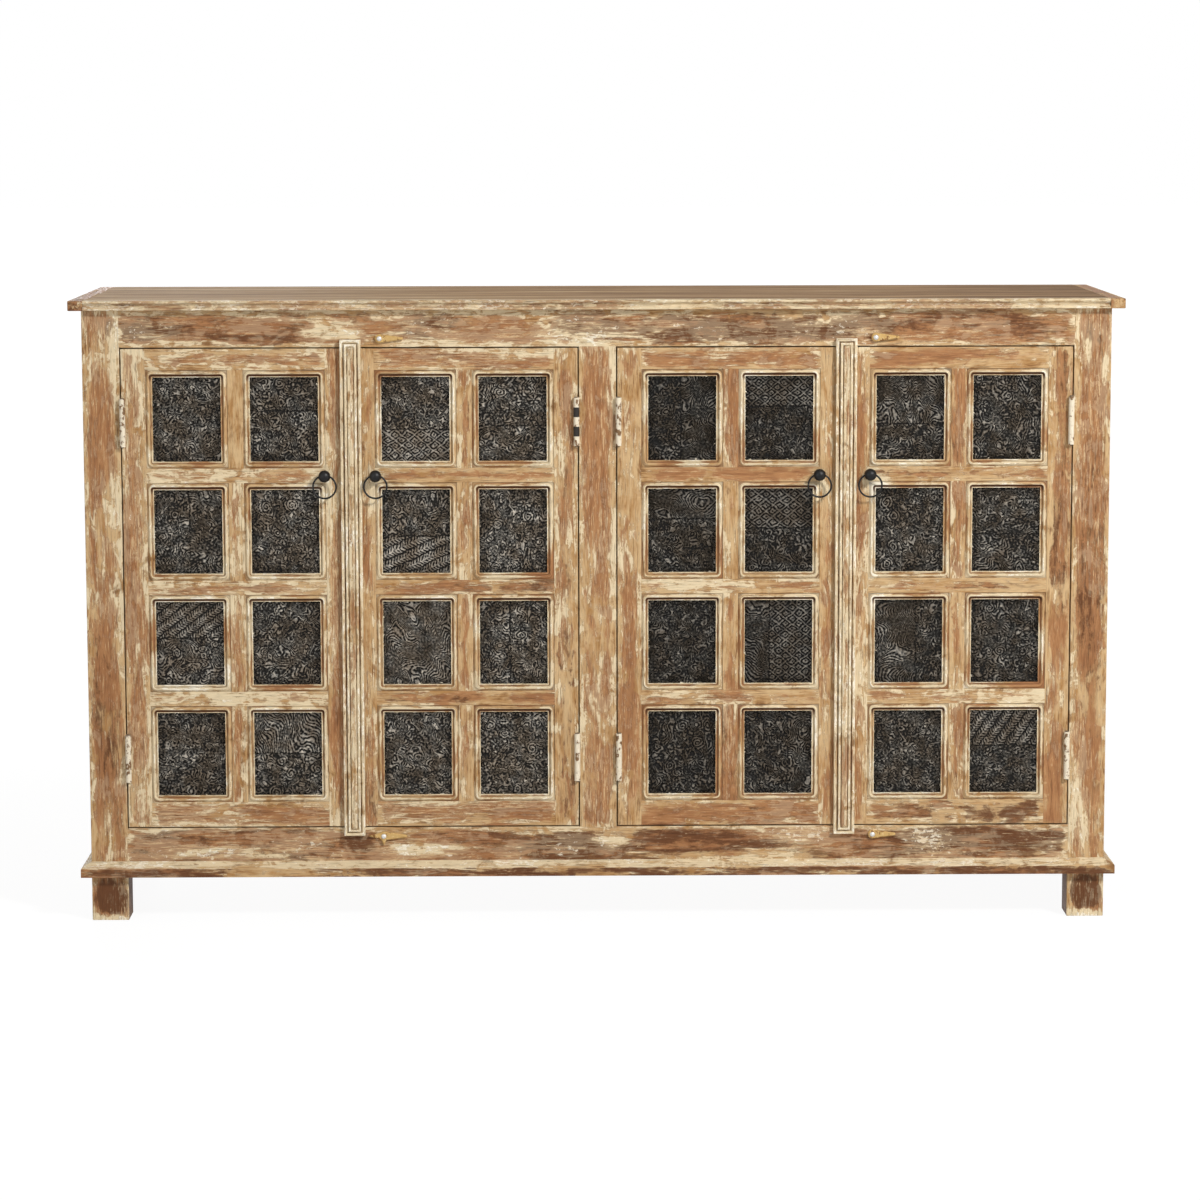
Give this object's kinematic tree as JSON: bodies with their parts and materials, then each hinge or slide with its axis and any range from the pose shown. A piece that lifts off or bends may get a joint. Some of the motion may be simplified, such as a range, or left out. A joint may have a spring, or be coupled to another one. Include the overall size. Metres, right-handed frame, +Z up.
{
  "type": "accent cabinet",
  "caption": "Low wide cabinet on square legs with inset doors in pairs, each with rows of framed carved panels, ring pulls, butt hinges, cover strips and turn buttons.",
  "frame": {"origin": "floor level, on the centre line of the width, midway between the foremost points of the pulls and the back", "axes": "+X to the right as seen from the front, +Y from the front to the back, +Z up"},
  "size_m": [1.7, 0.4698, 1.015],
  "materials": {
    "painted_wood": "distressed cream paint over brown wood, matt",
    "top_wood": "worn brown wood with traces of paint on the edge",
    "carved_wood": "charcoal grey carved blocks with a cream painted rim",
    "inner_wood": "plain unpainted wood",
    "painted_iron": "iron painted over in cream, chipped",
    "dark_iron": "dark oxidised iron",
    "black_iron": "black iron, slightly glossy",
    "button_iron": "iron with worn tan paint",
    "screw_steel": "pale painted screw heads"
  },
  "bodies": {
    "cabinet": {"back_left_post": "painted_wood", "back_panel": "inner_wood", "back_rails": "inner_wood", "back_right_post": "painted_wood", "base_moulding_front": "painted_wood", "base_moulding_sides": "painted_wood", "button_screws": "screw_steel", "centre_partition": "inner_wood", "centre_stile": "painted_wood", "floor_board": "inner_wood", "floor_cleats": "inner_wood", "frame_hinge_leaves": "painted_iron", "front_bottom_rail": "painted_wood", "front_left_post": "painted_wood", "front_right_post": "painted_wood", "front_top_rail": "painted_wood", "hinge_pins": "dark_iron", "left_shelf": "inner_wood", "left_side_panel": "painted_wood", "right_shelf": "inner_wood", "right_side_panel": "painted_wood", "shelf_cleats": "inner_wood", "side_rails": "painted_wood", "top_boards": "top_wood", "top_edge_front": "top_wood", "top_edge_sides": "top_wood"},
    "door_1": {"door_1_carved_panels": "carved_wood", "door_1_hinge_leaves": "painted_iron", "door_1_pull_ball": "black_iron", "door_1_rails": "painted_wood", "door_1_stiles": "painted_wood", "door_1_uprights": "painted_wood"},
    "ring_1": {"door_1_pull_ring": "black_iron"},
    "door_2": {"door_2_carved_panels": "carved_wood", "door_2_cover_strip": "painted_wood", "door_2_hinge_leaves": "painted_iron", "door_2_pull_ball": "black_iron", "door_2_rails": "painted_wood", "door_2_stiles": "painted_wood", "door_2_uprights": "painted_wood"},
    "ring_2": {"door_2_pull_ring": "black_iron"},
    "door_3": {"door_3_carved_panels": "carved_wood", "door_3_hinge_leaves": "painted_iron", "door_3_pull_ball": "black_iron", "door_3_rails": "painted_wood", "door_3_stiles": "painted_wood", "door_3_uprights": "painted_wood"},
    "ring_3": {"door_3_pull_ring": "black_iron"},
    "door_4": {"door_4_carved_panels": "carved_wood", "door_4_cover_strip": "painted_wood", "door_4_hinge_leaves": "painted_iron", "door_4_pull_ball": "black_iron", "door_4_rails": "painted_wood", "door_4_stiles": "painted_wood", "door_4_uprights": "painted_wood"},
    "ring_4": {"door_4_pull_ring": "black_iron"},
    "upper_left_button": {"upper_left_turn_button": "button_iron"},
    "lower_left_button": {"lower_left_turn_button": "button_iron"},
    "upper_right_button": {"upper_right_turn_button": "button_iron"},
    "lower_right_button": {"lower_right_turn_button": "button_iron"}
  },
  "joints": [
    {"name": "door_1_swing", "type": "hinge", "parent": "cabinet", "child": "door_1", "pos_m": [-0.766, -0.2161, 0.546], "axis": [0, 0, -1], "range_deg": [0, 90]},
    {"name": "door_2_swing", "type": "hinge", "parent": "cabinet", "child": "door_2", "pos_m": [-0.034, -0.2161, 0.546], "axis": [0, 0, 1], "range_deg": [0, 90]},
    {"name": "door_3_swing", "type": "hinge", "parent": "cabinet", "child": "door_3", "pos_m": [0.034, -0.2161, 0.546], "axis": [0, 0, -1], "range_deg": [0, 90]},
    {"name": "door_4_swing", "type": "hinge", "parent": "cabinet", "child": "door_4", "pos_m": [0.766, -0.2161, 0.546], "axis": [0, 0, 1], "range_deg": [0, 90]},
    {"name": "door_1_ring_swing", "type": "hinge", "parent": "door_1", "child": "ring_1", "pos_m": [-0.441, -0.2251, 0.7315], "axis": [-1, 0, 0], "range_deg": [-14, 162]},
    {"name": "door_2_ring_swing", "type": "hinge", "parent": "door_2", "child": "ring_2", "pos_m": [-0.359, -0.2251, 0.7315], "axis": [-1, 0, 0], "range_deg": [-14, 162]},
    {"name": "door_3_ring_swing", "type": "hinge", "parent": "door_3", "child": "ring_3", "pos_m": [0.359, -0.2251, 0.7315], "axis": [-1, 0, 0], "range_deg": [-14, 162]},
    {"name": "door_4_ring_swing", "type": "hinge", "parent": "door_4", "child": "ring_4", "pos_m": [0.441, -0.2251, 0.7315], "axis": [-1, 0, 0], "range_deg": [-14, 162]},
    {"name": "upper_left_button_turn", "type": "hinge", "parent": "cabinet", "child": "upper_left_button", "pos_m": [-0.351, -0.2111, 0.953], "axis": [0, -1, 0], "range_deg": [-90, 90]},
    {"name": "lower_left_button_turn", "type": "hinge", "parent": "cabinet", "child": "lower_left_button", "pos_m": [-0.351, -0.2111, 0.139], "axis": [0, 1, 0], "range_deg": [-90, 90]},
    {"name": "upper_right_button_turn", "type": "hinge", "parent": "cabinet", "child": "upper_right_button", "pos_m": [0.449, -0.2111, 0.953], "axis": [0, -1, 0], "range_deg": [-90, 90]},
    {"name": "lower_right_button_turn", "type": "hinge", "parent": "cabinet", "child": "lower_right_button", "pos_m": [0.449, -0.2111, 0.139], "axis": [0, 1, 0], "range_deg": [-90, 90]}
  ],
  "couplings": [
    {"joint": "door_1_swing", "follows": "door_2_swing", "ratio": 1},
    {"joint": "door_3_swing", "follows": "door_4_swing", "ratio": 1}
  ]
}
